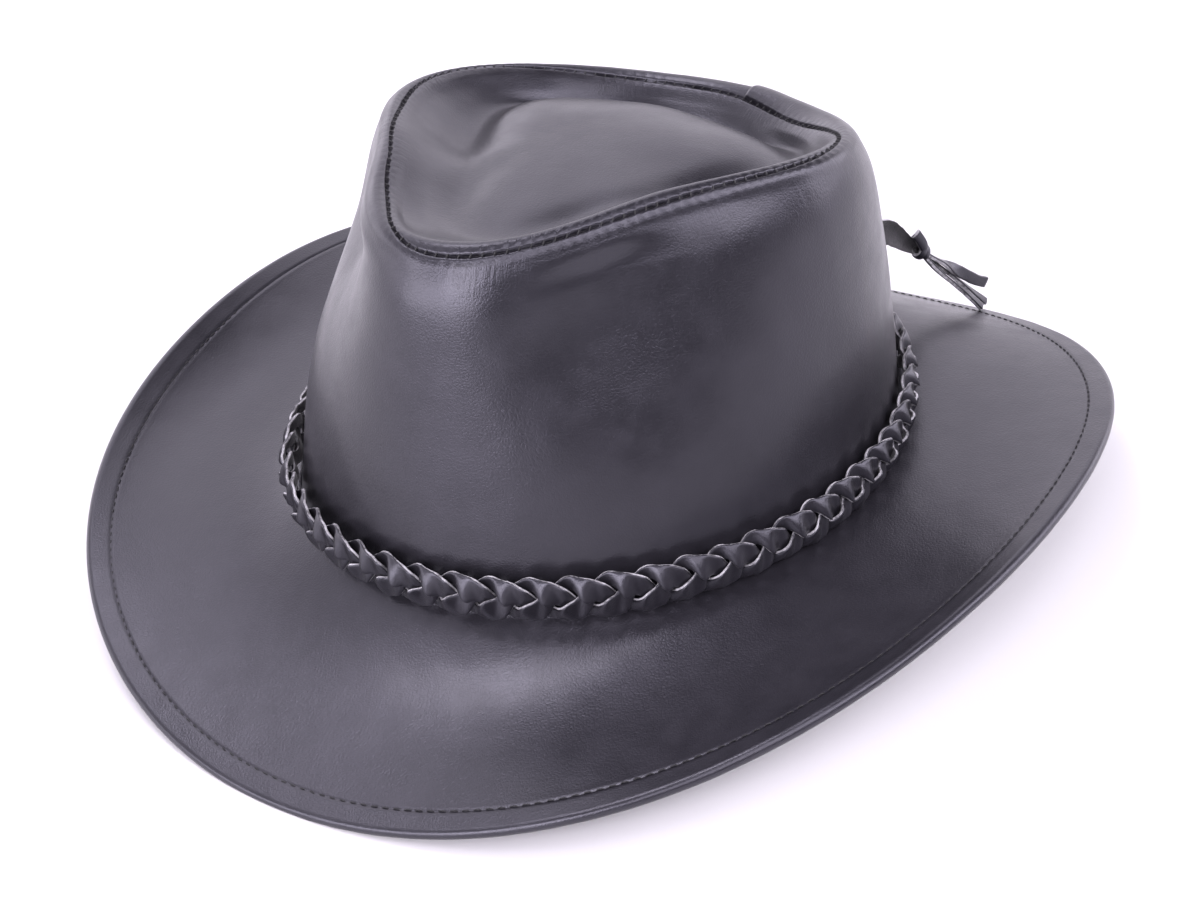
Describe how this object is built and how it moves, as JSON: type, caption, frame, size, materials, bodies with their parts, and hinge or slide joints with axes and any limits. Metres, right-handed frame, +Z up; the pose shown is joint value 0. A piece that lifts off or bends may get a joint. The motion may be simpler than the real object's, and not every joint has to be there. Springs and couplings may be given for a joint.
{
  "type": "leather hat",
  "caption": "Leather hat with a pinched teardrop crown, a wide brim curled up at the sides, and a plaited leather band tied at the back of one side.",
  "frame": {"origin": "on the surface that the hat rests on, below the middle of the brim", "axes": "+Z up out of the crown, -Y out of the front of the hat, +X towards the wearer's left"},
  "size_m": [0.3078, 0.3162, 0.1316],
  "materials": {
    "hat_leather": "smooth satin black",
    "lace_leather": "smooth satin black, with paler raw cut edges"
  },
  "bodies": {
    "root": {"brim": "hat_leather", "crown_side": "hat_leather", "crown_tip": "hat_leather", "band_strand_1": "lace_leather", "band_strand_2": "lace_leather", "band_strand_3": "lace_leather", "tie_knot": "lace_leather", "tie_loop": "lace_leather", "tie_short_end": "lace_leather", "tie_upper_end": "lace_leather", "tie_left_end": "lace_leather", "tie_right_end": "lace_leather"}
  },
  "joints": []
}
